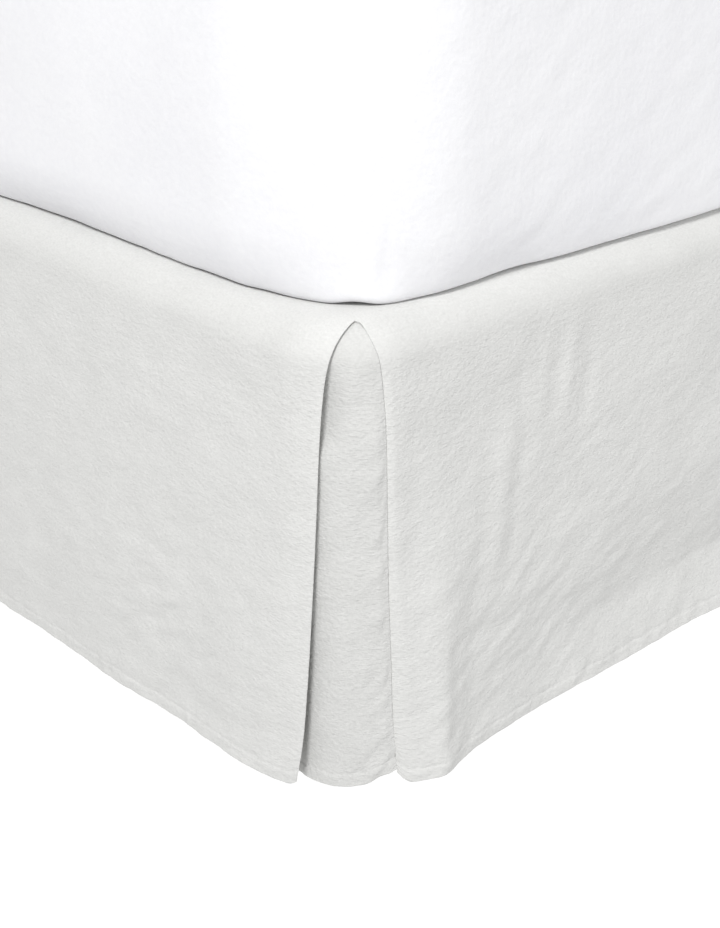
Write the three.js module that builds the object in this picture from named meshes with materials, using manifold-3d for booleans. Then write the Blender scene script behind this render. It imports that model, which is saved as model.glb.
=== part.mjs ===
// A tailored linen bed skirt on a plain bed, with an inverted pleat at each foot corner.
// Millimetres, +Z up, foot of the bed towards -Y, floor at z = 0.
import * as THREE from "three";
import Module from "manifold-3d";

const wasm = await Module();
wasm.setup();

// Driving dimensions
const BED_WIDTH = 1530; // queen mattress
const BED_LENGTH = 2030;
const MATTRESS_HEIGHT = 300;
const DROP = 380; // from the top of the base to the hem
const HEM_CLEARANCE = 10; // the hem hangs this far above the floor
const CLOTH = 1.2; // thickness of the sheets of cloth
const PIECE_GAP = 0.3; // between pieces that touch

// Mattress and base
const MATTRESS_CORNER = 105; // plan radius
const MATTRESS_EDGE = 30; // rounding of the upper and lower edges
const BASE_INSET = 9; // the base's sides stand inside the hanging cloth
const BASE_CORNER = 105;
const BASE_EDGE = 34;
const BASE_TOP = DROP + HEM_CLEARANCE;
const LEG_HEIGHT = 140;
const LEG_RADIUS = 25;
const LEG_FROM_SIDE = 130;
const LEG_FROM_END = 150;

// Skirt
const CORNER = 62; // plan radius of the skirt's corners
const SHOULDER = 30; // bend of the cloth over the base's edge
const FLANGE = 58; // the panels reach this far in, to the seam with the deck
const HEAD_MARGIN = 12; // the panels and the deck stop short of the head end
const HEM_FLARE = 5; // how far the whole drop swings out at the hem
const SEAM_HALF_GAP = 0.15; // where two panels meet over a corner

// Inverted pleat
const PLEAT_APEX = 2.5; // the opening starts this far below the top of the base
const ARCH_OPENING = 18.5; // half-width that opens within the first few centimetres
const ARCH_DEPTH = 12; // how quickly the arch opens
const HEM_OPENING = 43; // half-width at the hem
const PLEAT_SHIFT = { top: 13, hem: 3 }; // the pleat's middle lies this far round from the corner
const RETURN_LENGTH = 68; // cloth folded back behind each panel's edge
const FOLD_RADIUS = 1.5; // bend of the folded edge
const RETURN_OVERLAP = 3; // where the folded edge grows out of the panel
const RETURN_CLOTH = 1; // a little thinner, so that its layers lie apart
const BACK_BEHIND = 2 * FOLD_RADIUS + CLOTH + 2 * PIECE_GAP; // middle of the pleat's back
const BACK_INSET = 10; // in the opening, the back's hem hangs this much further in
const BACK_SPREAD = 10; // the back starts to follow the panels this far behind their edges

const HALF_WIDTH = BED_WIDTH / 2;
const HALF_LENGTH = BED_LENGTH / 2;
const CLOTH_TOP = BASE_TOP + PIECE_GAP + CLOTH / 2; // middle of the cloth on the base
const FOOT_STRAIGHT = HALF_WIDTH - CORNER;
const CORNER_ARC = (CORNER * Math.PI) / 2;
const CORNER_MIDDLE = FOOT_STRAIGHT + CORNER_ARC / 2;
const HEAD_END = FOOT_STRAIGHT + CORNER_ARC + BED_LENGTH - CORNER - HEAD_MARGIN;
const FLANGE_RUN = FLANGE - SHOULDER;
const SHOULDER_ARC = (SHOULDER * Math.PI) / 2;
const HEM_RUN = FLANGE_RUN + SHOULDER_ARC + CLOTH_TOP - SHOULDER - HEM_CLEARANCE;

// Soft folds at the hem: along is the distance round the bed from the middle of the foot,
// out is how far the hem stands out of line there, and reach is the fold's half-width.
const FOLDS = [
  { along: -2560, reach: 150, out: 4 },
  { along: -2210, reach: 120, out: -3 },
  { along: -1830, reach: 170, out: 4 },
  { along: -1450, reach: 110, out: -3 },
  { along: -1150, reach: 90, out: 3 },
  { along: -940, reach: 60, out: -3 },
  { along: -840, reach: 30, out: 8 },
  { along: -752, reach: 50, out: -13 },
  { along: -645, reach: 60, out: 5 },
  { along: -430, reach: 80, out: 3 },
  { along: -200, reach: 100, out: -3 },
  { along: 60, reach: 120, out: 4 },
  { along: 330, reach: 60, out: 2 },
  { along: 490, reach: 60, out: 3.5 },
  { along: 650, reach: 60, out: 4.5 },
  { along: 752, reach: 50, out: -14 },
  { along: 836, reach: 26, out: 10.5 },
  { along: 960, reach: 55, out: -4 },
  { along: 1290, reach: 140, out: 3 },
  { along: 1680, reach: 130, out: -4 },
  { along: 2080, reach: 180, out: 5 },
  { along: 2480, reach: 120, out: -3 },
];

const smooth = THREE.MathUtils.smoothstep;

// The line of the skirt in plan, along mm round the bed from the middle of the foot
function planLine(along) {
  const side = Math.sign(along) || 1;
  const s = Math.abs(along);
  const turn = THREE.MathUtils.clamp((s - FOOT_STRAIGHT) / CORNER, 0, Math.PI / 2);
  const outX = Math.sin(turn);
  const outY = -Math.cos(turn);
  const x = Math.min(s, FOOT_STRAIGHT) + CORNER * outX;
  const y = -HALF_LENGTH + CORNER + CORNER * outY + Math.max(0, s - FOOT_STRAIGHT - CORNER_ARC);
  return { x: side * x, y, outX: side * outX, outY };
}

// The upright profile of the cloth: flat on the base, over its shoulder, then down to the hem
function profile(run) {
  if (run <= FLANGE_RUN) {
    return { r: run - FLANGE, z: CLOTH_TOP, outR: 0, outZ: 1 };
  }
  const bend = Math.min((run - FLANGE_RUN) / SHOULDER, Math.PI / 2);
  const below = Math.max(0, run - FLANGE_RUN - SHOULDER_ARC);
  return {
    r: SHOULDER * (Math.sin(bend) - 1),
    z: CLOTH_TOP - SHOULDER + SHOULDER * Math.cos(bend) - below,
    outR: Math.sin(bend),
    outZ: Math.cos(bend),
  };
}

function foldOut(along) {
  return FOLDS.reduce((sum, f) => sum + f.out * Math.exp(-(((along - f.along) / f.reach) ** 2)), 0);
}

// A point of the cloth; behind is the distance inwards from the outer layer, and follow is
// how much of the panels' folds this layer shares
function clothPoint(along, run, behind, follow = 1) {
  const plan = planLine(along);
  const { r, z, outR, outZ } = profile(run);
  const swing = smooth(BASE_TOP - z, SHOULDER, DROP) * (HEM_FLARE + foldOut(along)) * follow;
  const out = r + swing - behind * outR;
  return new THREE.Vector3(plan.x + plan.outX * out, plan.y + plan.outY * out, z - behind * outZ);
}

// Half-width of the pleat's opening at a depth below the top of the base
function opening(depth) {
  const below = Math.max(0, depth - PLEAT_APEX);
  const arch = ARCH_OPENING * (1 - Math.exp(-below / ARCH_DEPTH));
  return arch + ((HEM_OPENING - ARCH_OPENING) * below) / (DROP - PLEAT_APEX);
}

// Where the pleat's middle lies at that depth, from the middle of the foot
const pleatMiddle = (depth) =>
  CORNER_MIDDLE + THREE.MathUtils.lerp(PLEAT_SHIFT.top, PLEAT_SHIFT.hem, Math.max(0, depth) / DROP);

const depthAt = (run) => BASE_TOP - profile(run).z;
const runAtDepth = (depth) =>
  depth < SHOULDER
    ? FLANGE_RUN + SHOULDER * Math.acos(1 - (depth + CLOTH_TOP - BASE_TOP) / SHOULDER)
    : FLANGE_RUN + SHOULDER_ARC + depth + CLOTH_TOP - BASE_TOP - SHOULDER;

// Rows of the sheets: on the base, over the shoulder, and at depths down the drop
const UPPER_RUNS = [0, FLANGE_RUN];
const ARCH_DEPTHS = [0, PLEAT_APEX];
const PLEAT_DEPTHS = [8, 15, 29, 50, 90, 150, 220, 300];
const PLEAT_RUNS = [...PLEAT_DEPTHS.map(runAtDepth), HEM_RUN];
const PANEL_RUNS = [...UPPER_RUNS, ...ARCH_DEPTHS.map(runAtDepth), ...PLEAT_RUNS];
const BACK_RUNS = [runAtDepth(1), ...PLEAT_RUNS];

// A closed sheet: a grid of points on its middle surface, thickened both ways along the normals
function sheet(rows, thickness) {
  const height = rows.length;
  const width = rows[0].length;
  const normal = (i, j) => {
    const across = rows[i][Math.min(j + 1, width - 1)].clone().sub(rows[i][Math.max(j - 1, 0)]);
    const down = rows[Math.min(i + 1, height - 1)][j].clone().sub(rows[Math.max(i - 1, 0)][j]);
    return down.cross(across).normalize();
  };
  const positions = [];
  for (const way of [0.5, -0.5]) {
    rows.forEach((row, i) =>
      row.forEach((point, j) => {
        const p = point.clone().addScaledVector(normal(i, j), way * thickness);
        positions.push(p.x, p.y, p.z);
      }),
    );
  }
  const back = width * height;
  const at = (i, j) => i * width + j;
  const faces = [];
  const quad = (a, b, c, d) => faces.push(a, b, c, a, c, d);
  for (let i = 0; i < height - 1; i++) {
    for (let j = 0; j < width - 1; j++) {
      const [a, b, c, d] = [at(i, j), at(i + 1, j), at(i + 1, j + 1), at(i, j + 1)];
      quad(a, b, c, d);
      quad(d + back, c + back, b + back, a + back);
    }
    quad(at(i, 0) + back, at(i + 1, 0) + back, at(i + 1, 0), at(i, 0));
    quad(at(i, width - 1), at(i + 1, width - 1), at(i + 1, width - 1) + back, at(i, width - 1) + back);
  }
  for (let j = 0; j < width - 1; j++) {
    quad(at(0, j), at(0, j + 1), at(0, j + 1) + back, at(0, j) + back);
    const last = height - 1;
    quad(at(last, j) + back, at(last, j + 1) + back, at(last, j + 1), at(last, j));
  }
  const geometry = new THREE.BufferGeometry();
  geometry.setAttribute("position", new THREE.Float32BufferAttribute(positions, 3));
  geometry.setIndex(faces);
  return geometry;
}

function toSolid(geometry) {
  const mesh = new wasm.Mesh({
    numProp: 3,
    vertProperties: new Float32Array(geometry.getAttribute("position").array),
    triVerts: new Uint32Array(geometry.getIndex().array),
  });
  return new wasm.Manifold(mesh);
}

function toGeometry(solid) {
  const mesh = solid.getMesh();
  const geometry = new THREE.BufferGeometry();
  geometry.setAttribute("position", new THREE.BufferAttribute(mesh.vertProperties, 3));
  geometry.setIndex(new THREE.BufferAttribute(mesh.triVerts, 1));
  return geometry;
}

const spread = (from, to, steps) =>
  Array.from({ length: steps + 1 }, (_, k) => THREE.MathUtils.lerp(from, to, k / steps));

// Where a panel's folded edge lies: face is "foot" or "side", side is 1 or -1
function edgeAt(face, side, run) {
  const depth = depthAt(run);
  const seam = (SEAM_HALF_GAP * CORNER) / (CORNER + profile(run).r);
  return side * (pleatMiddle(depth) + (face === "foot" ? -1 : 1) * (seam + opening(depth)));
}

// The cloth folded back behind a panel's edge, as one back-and-forth section
function foldedReturn(face, side) {
  const inward = side * (face === "foot" ? -1 : 1); // away from the pleat's middle
  const bends = [90, 45, 0, -45, -90].map(THREE.MathUtils.degToRad);
  const rows = PLEAT_RUNS.map((run) => {
    const edge = edgeAt(face, side, run);
    const row = [clothPoint(edge + inward * RETURN_OVERLAP, run, 0)];
    for (const bend of bends) {
      const along = edge - inward * FOLD_RADIUS * Math.cos(bend);
      row.push(clothPoint(along, run, FOLD_RADIUS * (1 - Math.sin(bend))));
    }
    for (const back of spread(0, RETURN_LENGTH, 6).slice(1)) {
      row.push(clothPoint(edge + inward * back, run, 2 * FOLD_RADIUS));
    }
    return inward < 0 ? row.reverse() : row;
  });
  return sheet(rows, RETURN_CLOTH);
}

// Columns of a panel: close together near its edge, wider apart along the straight side
const NEAR_EDGE = [0, 9, 18, 27, 36, 46, 57, 70, 88, 115, 150];
const FOOT_COLUMNS = 12;
const SIDE_COLUMNS = 14;

function footPanel() {
  const rows = PANEL_RUNS.map((run) => {
    const edge = edgeAt("foot", 1, run);
    const straight = spread(-edge + NEAR_EDGE.at(-1), edge - NEAR_EDGE.at(-1), FOOT_COLUMNS).slice(1, -1);
    const right = NEAR_EDGE.map((d) => edge - d).reverse();
    const left = NEAR_EDGE.map((d) => d - edge);
    return [...left, ...straight, ...right].map((along) => clothPoint(along, run, 0));
  });
  return toSolid(sheet(rows, CLOTH))
    .add(toSolid(foldedReturn("foot", 1)))
    .add(toSolid(foldedReturn("foot", -1)));
}

function sidePanel(side) {
  const rows = PANEL_RUNS.map((run) => {
    const edge = Math.abs(edgeAt("side", side, run));
    const near = NEAR_EDGE.map((d) => edge + d);
    const straight = spread(edge + NEAR_EDGE.at(-1), HEAD_END, SIDE_COLUMNS).slice(1);
    const row = [...near, ...straight].map((along) => clothPoint(side * along, run, 0));
    return side > 0 ? row : row.reverse();
  });
  return toSolid(sheet(rows, CLOTH)).add(toSolid(foldedReturn("side", side)));
}

// The pleat's back: it spans the opening and runs behind both panels to their returns
const BACK_COLUMNS = 20;

function pleatBack(side) {
  const rows = BACK_RUNS.map((run) => {
    const depth = depthAt(run);
    const reach = opening(depth) + RETURN_LENGTH;
    const row = spread(-reach, reach, BACK_COLUMNS).map((fromMiddle) => {
      const follow = smooth(Math.abs(fromMiddle), opening(depth) + BACK_SPREAD, reach);
      const inset = BACK_INSET * smooth(depth, 0, DROP) * (1 - follow);
      const along = side * (pleatMiddle(depth) + fromMiddle);
      return clothPoint(along, run, BACK_BEHIND + inset, follow);
    });
    return side > 0 ? row : row.reverse();
  });
  return toSolid(sheet(rows, CLOTH));
}

// A rectangle with round corners, and the same made into a block with rounded edges
function roundedRectangle(halfX, halfY, radius) {
  const shape = new THREE.Shape();
  shape.absarc(halfX - radius, halfY - radius, radius, 0, Math.PI / 2);
  shape.absarc(radius - halfX, halfY - radius, radius, Math.PI / 2, Math.PI);
  shape.absarc(radius - halfX, radius - halfY, radius, Math.PI, 1.5 * Math.PI);
  shape.absarc(halfX - radius, radius - halfY, radius, 1.5 * Math.PI, 2 * Math.PI);
  return shape;
}

function softBlock(halfX, halfY, corner, edge, bottom, top) {
  const shape = roundedRectangle(halfX - edge, halfY - edge, corner - edge);
  const geometry = new THREE.ExtrudeGeometry(shape, {
    depth: top - bottom - 2 * edge,
    bevelSize: edge,
    bevelThickness: edge,
    bevelSegments: 4,
    curveSegments: 6,
  });
  return geometry.translate(0, 0, bottom + edge);
}

function deckGeometry() {
  const halfX = HALF_WIDTH - FLANGE - PIECE_GAP;
  const foot = -HALF_LENGTH + FLANGE + PIECE_GAP;
  const head = HALF_LENGTH - HEAD_MARGIN;
  const shape = new THREE.Shape([
    new THREE.Vector2(-halfX, head),
    new THREE.Vector2(-halfX, foot + CORNER - FLANGE),
    new THREE.Vector2(-halfX + CORNER - FLANGE, foot),
    new THREE.Vector2(halfX - CORNER + FLANGE, foot),
    new THREE.Vector2(halfX, foot + CORNER - FLANGE),
    new THREE.Vector2(halfX, head),
  ]);
  const geometry = new THREE.ExtrudeGeometry(shape, { depth: CLOTH, bevelEnabled: false });
  return geometry.translate(0, 0, BASE_TOP + PIECE_GAP);
}

// Materials
const linen = new THREE.MeshStandardMaterial({ color: 0xdfdeda, roughness: 0.95, side: THREE.DoubleSide });
const deckCotton = new THREE.MeshStandardMaterial({ color: 0xecebe6, roughness: 0.95 });
const mattressCover = new THREE.MeshStandardMaterial({ color: 0xf6f6f7, roughness: 0.9 });
const baseCover = new THREE.MeshStandardMaterial({ color: 0xcfccc4, roughness: 0.95 });
const legWood = new THREE.MeshStandardMaterial({ color: 0xa98a63, roughness: 0.55 });

const bed = new THREE.Group();

function place(name, geometry, material, x = 0, y = 0, z = 0) {
  const mesh = new THREE.Mesh(geometry, material);
  mesh.name = name;
  mesh.position.set(x, y, z);
  bed.add(mesh);
}

// Bed
const mattressBottom = BASE_TOP + PIECE_GAP + CLOTH + PIECE_GAP;
place(
  "mattress",
  softBlock(
    HALF_WIDTH,
    HALF_LENGTH,
    MATTRESS_CORNER,
    MATTRESS_EDGE,
    mattressBottom,
    mattressBottom + MATTRESS_HEIGHT,
  ),
  mattressCover,
);
place(
  "bed_base",
  softBlock(
    HALF_WIDTH - BASE_INSET,
    HALF_LENGTH - BASE_INSET,
    BASE_CORNER,
    BASE_EDGE,
    LEG_HEIGHT,
    BASE_TOP,
  ),
  baseCover,
);
const legTop = LEG_HEIGHT - PIECE_GAP;
const legGeometry = new THREE.CylinderGeometry(LEG_RADIUS, LEG_RADIUS * 0.8, legTop, 24).rotateX(Math.PI / 2);
const legRows = [
  { name: "foot", y: -HALF_LENGTH + LEG_FROM_END },
  { name: "head", y: HALF_LENGTH - LEG_FROM_END },
];
const legColumns = [
  { name: "left", x: -HALF_WIDTH + LEG_FROM_SIDE },
  { name: "middle", x: 0 },
  { name: "right", x: HALF_WIDTH - LEG_FROM_SIDE },
];
for (const row of legRows) {
  for (const column of legColumns) {
    place(`leg_${row.name}_${column.name}`, legGeometry, legWood, column.x, row.y, legTop / 2);
  }
}

// Skirt
place("skirt_deck", deckGeometry(), deckCotton);
place("skirt_panel_foot", toGeometry(footPanel()), linen);
for (const side of [1, -1]) {
  const word = side > 0 ? "right" : "left";
  place(`skirt_panel_${word}`, toGeometry(sidePanel(side)), linen);
  place(`pleat_back_${word}`, toGeometry(pleatBack(side)), linen);
}

// The origin is on the floor under the middle of the whole bed
const middle = new THREE.Box3().setFromObject(bed).getCenter(new THREE.Vector3());
bed.position.set(-middle.x, -middle.y, 0);
const model = new THREE.Group();
model.add(bed);

export default model;
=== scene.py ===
# %% [markdown]
# # A washed linen bed skirt
# A bed skirt hides the base of a bed. A flat deck lies under the mattress, and panels of cloth
# fall from it to just above the floor. At each foot corner an inverted pleat lets the cloth turn.
# We build it as a tailor would: panels with turned hems and folded edges, an underlay behind each
# pleat, and then the bed that carries them. The shapes are grids of points that numpy works out,
# because cloth that hangs this plainly is easier to steer with numbers than with a simulation.

# %% Load the frame
import math

import bpy
import numpy as np
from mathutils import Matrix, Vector


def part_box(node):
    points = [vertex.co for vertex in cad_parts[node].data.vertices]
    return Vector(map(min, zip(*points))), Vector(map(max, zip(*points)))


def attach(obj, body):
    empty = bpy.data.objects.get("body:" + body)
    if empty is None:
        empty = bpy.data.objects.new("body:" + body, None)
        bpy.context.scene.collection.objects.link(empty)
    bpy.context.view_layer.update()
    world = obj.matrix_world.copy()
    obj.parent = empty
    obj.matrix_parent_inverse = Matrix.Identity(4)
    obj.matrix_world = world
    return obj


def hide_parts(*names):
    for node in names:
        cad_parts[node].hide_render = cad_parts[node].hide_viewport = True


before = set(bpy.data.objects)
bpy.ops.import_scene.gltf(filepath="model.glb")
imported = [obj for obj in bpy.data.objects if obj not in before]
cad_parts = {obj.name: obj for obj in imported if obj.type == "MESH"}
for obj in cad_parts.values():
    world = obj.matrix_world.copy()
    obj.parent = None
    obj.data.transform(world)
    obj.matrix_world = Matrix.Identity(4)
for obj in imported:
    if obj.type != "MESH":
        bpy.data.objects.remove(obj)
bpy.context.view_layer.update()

# %% [markdown]
# ## Sizes
# Blender works in metres, but cloth is easier to think about in millimetres. Every number below
# is in millimetres, and one factor turns a finished grid into metres. The middle of the bed
# comes from the mattress in the frame, so the new pieces land where the frame has them.

# %% Sizes of the bed and the skirt
MM = 0.001
mattress_low, mattress_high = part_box("mattress")
BED_MIDDLE = (mattress_low + mattress_high) / 2
HALF_WIDTH = 765.0
HALF_LENGTH = 1015.0
BASE_TOP = 390.0
CLOTH_TOP = 390.9  # middle of the cloth where it lies on the base
CORNER = 62.0  # plan radius of the skirt's corners
SHOULDER = 30.0  # bend of the cloth over the base's edge
FLANGE = 58.0  # the panels reach this far in under the mattress
FLANGE_RUN = FLANGE - SHOULDER
SHOULDER_ARC = SHOULDER * math.pi / 2
DROP = 380.0
HEM_CLEARANCE = 10.0
HEM_RUN = FLANGE_RUN + SHOULDER_ARC + CLOTH_TOP - SHOULDER - HEM_CLEARANCE
FOOT_STRAIGHT = HALF_WIDTH - CORNER
CORNER_ARC = CORNER * math.pi / 2
CORNER_MIDDLE = FOOT_STRAIGHT + CORNER_ARC / 2
HEAD_GAP = 12.0  # the deck and the side panels end this far short of the head
HEAD_END = FOOT_STRAIGHT + CORNER_ARC + 2 * HALF_LENGTH - CORNER - HEAD_GAP
print("The cloth runs", round(HEM_RUN, 1), "mm from the deck's seam to the hem")

# %% [markdown]
# ## The camera
# The picture looks down at one foot corner from about chest height, with a normal lens. The
# camera comes early, so that each new piece can be looked at as soon as it is there.

# %% Camera
CAMERA_PLACE = (1.5409, -1.7228, 0.784)
CAMERA_PITCH = 24.56  # degrees down
CAMERA_YAW = 136.72  # degrees round from +X
CAMERA_LENS = 65.95


def placed(name, data):
    """A new object in the scene that carries this mesh, lamp or camera."""
    made = bpy.data.objects.new(name, data)
    bpy.context.scene.collection.objects.link(made)
    return made


camera_data = bpy.data.cameras.new("camera")
camera_data.lens = CAMERA_LENS
camera = placed("camera", camera_data)
camera.location = CAMERA_PLACE
camera.rotation_euler = (math.radians(90 - CAMERA_PITCH), 0, math.radians(CAMERA_YAW - 90))
bpy.context.scene.camera = camera
print("Camera at", CAMERA_PLACE)

# %% [markdown]
# ## The line that the skirt follows
# Two numbers name any point of the cloth. `along` is the distance round the bed from the middle
# of the foot, and `run` is the distance down the cloth from its seam with the deck. One function
# gives the plan line round the bed and one gives the upright profile: flat on the base, over a
# rounded shoulder, then straight down. Every sheet below is made from these two.

# %% Plan line and profile
def smoothstep(value, start, end):
    t = np.clip((value - start) / (end - start), 0, 1)
    return t * t * (3 - 2 * t)


def bell(value):
    """1 at 0, fading to nothing at about 2 either way."""
    return np.exp(-(value ** 2))


def smooth_curve(value, places, heights):
    """A smooth line through (place, height) marks that doesn't overshoot between them."""
    x, y = np.array(places, float), np.array(heights, float)
    step = np.diff(y) / np.diff(x)
    slope = np.concatenate([[step[0]], np.zeros(len(step) - 1), [step[-1]]])
    same_way = step[:-1] * step[1:] > 0
    mean = 2 * step[:-1] * step[1:] / np.where(same_way, step[:-1] + step[1:], 1)
    slope[1:-1] = np.where(same_way, mean, 0)
    at = np.clip(value, x[0], x[-1])
    i = np.clip(np.searchsorted(x, at, side="right") - 1, 0, len(x) - 2)
    width = x[i + 1] - x[i]
    t = (at - x[i]) / width
    rise = y[i] * (2 * t ** 3 - 3 * t ** 2 + 1) + y[i + 1] * (3 * t ** 2 - 2 * t ** 3)
    return rise + width * (slope[i] * (t ** 3 - 2 * t ** 2 + t) + slope[i + 1] * (t ** 3 - t ** 2))


def plan_line(along):
    side = np.where(along < 0, -1.0, 1.0)
    s = np.abs(along)
    turn = np.clip((s - FOOT_STRAIGHT) / CORNER, 0, math.pi / 2)
    out_x, out_y = np.sin(turn), -np.cos(turn)
    x = np.minimum(s, FOOT_STRAIGHT) + CORNER * out_x
    past_corner = np.maximum(0, s - FOOT_STRAIGHT - CORNER_ARC)
    y = -HALF_LENGTH + CORNER + CORNER * out_y + past_corner
    return side * x, y, side * out_x, out_y


def profile(run):
    bend = np.clip((run - FLANGE_RUN) / SHOULDER, 0, math.pi / 2)
    below = np.maximum(0, run - FLANGE_RUN - SHOULDER_ARC)
    r = SHOULDER * (np.sin(bend) - 1) - np.maximum(0, FLANGE_RUN - run)
    z = CLOTH_TOP - SHOULDER + SHOULDER * np.cos(bend) - below
    return r, z, np.sin(bend), np.cos(bend)


def depth_at(run):
    return BASE_TOP - profile(run)[1]


def run_at_depth(depth):
    if depth < SHOULDER:
        return FLANGE_RUN + SHOULDER * math.acos(1 - (depth + CLOTH_TOP - BASE_TOP) / SHOULDER)
    return FLANGE_RUN + SHOULDER_ARC + depth + CLOTH_TOP - BASE_TOP - SHOULDER


print("Depth at the hem:", round(float(depth_at(HEM_RUN)), 2), "mm")

# %% [markdown]
# ## How the hem swings
# A hanging hem is never a straight line. Each fold here stands out or falls in over a short
# reach of the hem, and fades to nothing at the shoulder. Near the corners the panels' edges curl
# in, which gives the skirt its soft scalloped lower line.

# %% Folds of the hem
HEM_FLARE = 5.0
FOLDS = [  # along, reach, out at the hem
    (-2560, 150, 4), (-2210, 120, -3), (-1830, 170, 4), (-1450, 110, -3), (-1150, 90, 3),
    (-940, 60, -3), (-840, 30, 8), (-752, 50, -13), (-645, 60, 5), (-430, 80, 3),
    (-200, 100, -3), (60, 120, 4), (330, 60, 2), (490, 60, 3.5), (650, 60, 4.5),
    (752, 50, -14), (836, 26, 10.5), (960, 55, -4), (1290, 140, 3), (1680, 130, -4),
    (2080, 180, 5), (2480, 120, -3),
]


def fold_out(along):
    return sum(out * bell((along - place) / reach) for place, reach, out in FOLDS)


def cloth_point(along, run, behind, follow, relief):
    """Points in millimetres, from the middle of the bed. behind goes inwards and relief
    outwards; follow is the share of the hem's swing that this cloth takes part in."""
    x, y, out_x, out_y = plan_line(along)
    r, z, out_r, out_z = profile(run)
    swing = smoothstep(BASE_TOP - z, SHOULDER, DROP) * (HEM_FLARE + fold_out(along)) * follow
    out = r + swing + (relief - behind) * out_r
    return np.stack([x + out_x * out, y + out_y * out, z + (relief - behind) * out_z], axis=-1)


print("Hem at the corner stands out", round(float(HEM_FLARE + fold_out(np.array(752.0))), 1), "mm")

# %% [markdown]
# ## Crinkles
# Washed linen keeps a memory of the wash: shallow crinkles a centimetre or two long that catch
# the light. Gradient noise makes them. Stretching it one way and leaning it over gives crinkles
# that run, as real ones do, in the direction the cloth was pulled.

# %% Gradient noise on a sheet
def gradient_noise(x, y, seed):
    table = np.random.default_rng(seed).permutation(256)
    angle = np.random.default_rng(seed + 1).uniform(0, 2 * math.pi, 256)
    cell_x, cell_y = np.floor(x).astype(int), np.floor(y).astype(int)
    part_x, part_y = x - cell_x, y - cell_y
    ease_x = part_x ** 3 * (part_x * (part_x * 6 - 15) + 10)
    ease_y = part_y ** 3 * (part_y * (part_y * 6 - 15) + 10)

    def pull(i, j):
        corner = angle[table[(table[(cell_x + i) % 256] + cell_y + j) % 256]]
        return np.cos(corner) * (part_x - i) + np.sin(corner) * (part_y - j)

    top = pull(0, 0) * (1 - ease_x) + pull(1, 0) * ease_x
    bottom = pull(0, 1) * (1 - ease_x) + pull(1, 1) * ease_x
    return 1.5 * (top * (1 - ease_y) + bottom * ease_y)


WANDER = 0.25  # how far a crinkle strays from a straight line, as a share of its length


def crinkle(along, down, length, width, lean, seed):
    """Noise stretched to length by width millimetres, leaning up by lean degrees."""
    turn = math.radians(lean)
    with_it = along * math.cos(turn) - down * math.sin(turn)
    across = along * math.sin(turn) + down * math.cos(turn)
    stray = gradient_noise(with_it / length / 2, across / length / 2, seed + 7)
    bent = across + WANDER * length * stray
    return gradient_noise(with_it / length, bent / width, seed)


def patch(along, down, middle, reach):
    """1 in the middle of a patch, fading to 0 at about twice its reach."""
    far = ((along - middle[0]) / reach[0]) ** 2 + ((down - middle[1]) / reach[1]) ** 2
    return np.exp(-far)


def crease(along, down, start, end, width, height):
    """A soft ridge (or, with a height below 0, a trough) along a line, fading at its ends."""
    line = np.array(end, float) - np.array(start, float)
    length = np.linalg.norm(line)
    line /= length
    with_it = (along - start[0]) * line[0] + (down - start[1]) * line[1]
    off = (along - start[0]) * -line[1] + (down - start[1]) * line[0]
    ends = smoothstep(with_it, -0.2 * length, 0.3 * length)
    ends = ends * (1 - smoothstep(with_it, 0.7 * length, 1.2 * length))
    return height * ends * bell(off / width)


print("One crinkle sample:", round(float(crinkle(np.array(812.0), np.array(203.0), 30, 9, 20, 5)), 3))

# %% [markdown]
# ## The relief of the panels
# The relief adds up what the eye finds in the cloth: a fine all-over crinkle, slow waves that
# give large soft patches of shade, groups of leaning crinkles low on the panels, a few long
# creases from folding, and at the right a V-shaped trough above the hem, below which the cloth
# kicks out. Near the top the cloth is stretched over the shoulder, so the relief fades there.
# Noise alone looks too even, so the patches and creases have places of their own.

# %% Relief of the panels
CREASES = [  # start, end, width, height, each place as (along, depth)
    ((913, 4), (936, 92), 9, 1.7), ((928, 30), (925, 100), 8, -1.2), ((956, 26), (946, 112), 8, 1.6),
    ((985, 38), (974, 122), 8, 1.7), ((1006, 50), (998, 130), 8, -1.4),
    ((914, 100), (890, 260), 11, 1.4), ((930, 106), (914, 240), 10, -1.1),
    ((868, 100), (862, 260), 14, 1.0), ((836, 262), (834, 392), 9, 1.0),
    ((848, 270), (846, 392), 9, -1.3), ((545, 285), (580, 262), 6, 1.7),
    ((540, 300), (575, 280), 6, -1.9), ((632, 250), (662, 240), 5, 1.5),
    ((700, 120), (694, 330), 20, 0.8), ((430, 250), (455, 330), 14, 0.9),
    ((-520, 90), (-560, 260), 16, 1.2), ((-880, 120), (-900, 330), 14, 1.4),
    ((1480, 60), (1500, 250), 15, 1.4), ((1900, 90), (1870, 300), 18, -1.3),
    ((-1400, 70), (-1380, 260), 16, 1.4), ((-1950, 90), (-1990, 300), 18, 1.3),
]
PATCHES = [  # height, then length, width, lean and seed of the crinkles, then middle and reach
    (1.35, (36, 11, 27, 15), (925, 300), (115, 95)),
    (1.5, (30, 11, 30, 16), (560, 300), (110, 90)),
    (0.5, (26, 9, 24, 17), (1040, 180), (110, 110)),
]
KICK_PLACES, KICK_DEPTHS = (900, 940, 990, 1400), (380, 348, 325, 318)
KICK_IN = 18.0  # depth of the trough
KICK_ROUND = 6.0  # how round its bottom is
KICK_ABOVE = 105.0  # how far it reaches up
KICK_END = 402.0  # depth at which it is over


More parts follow.
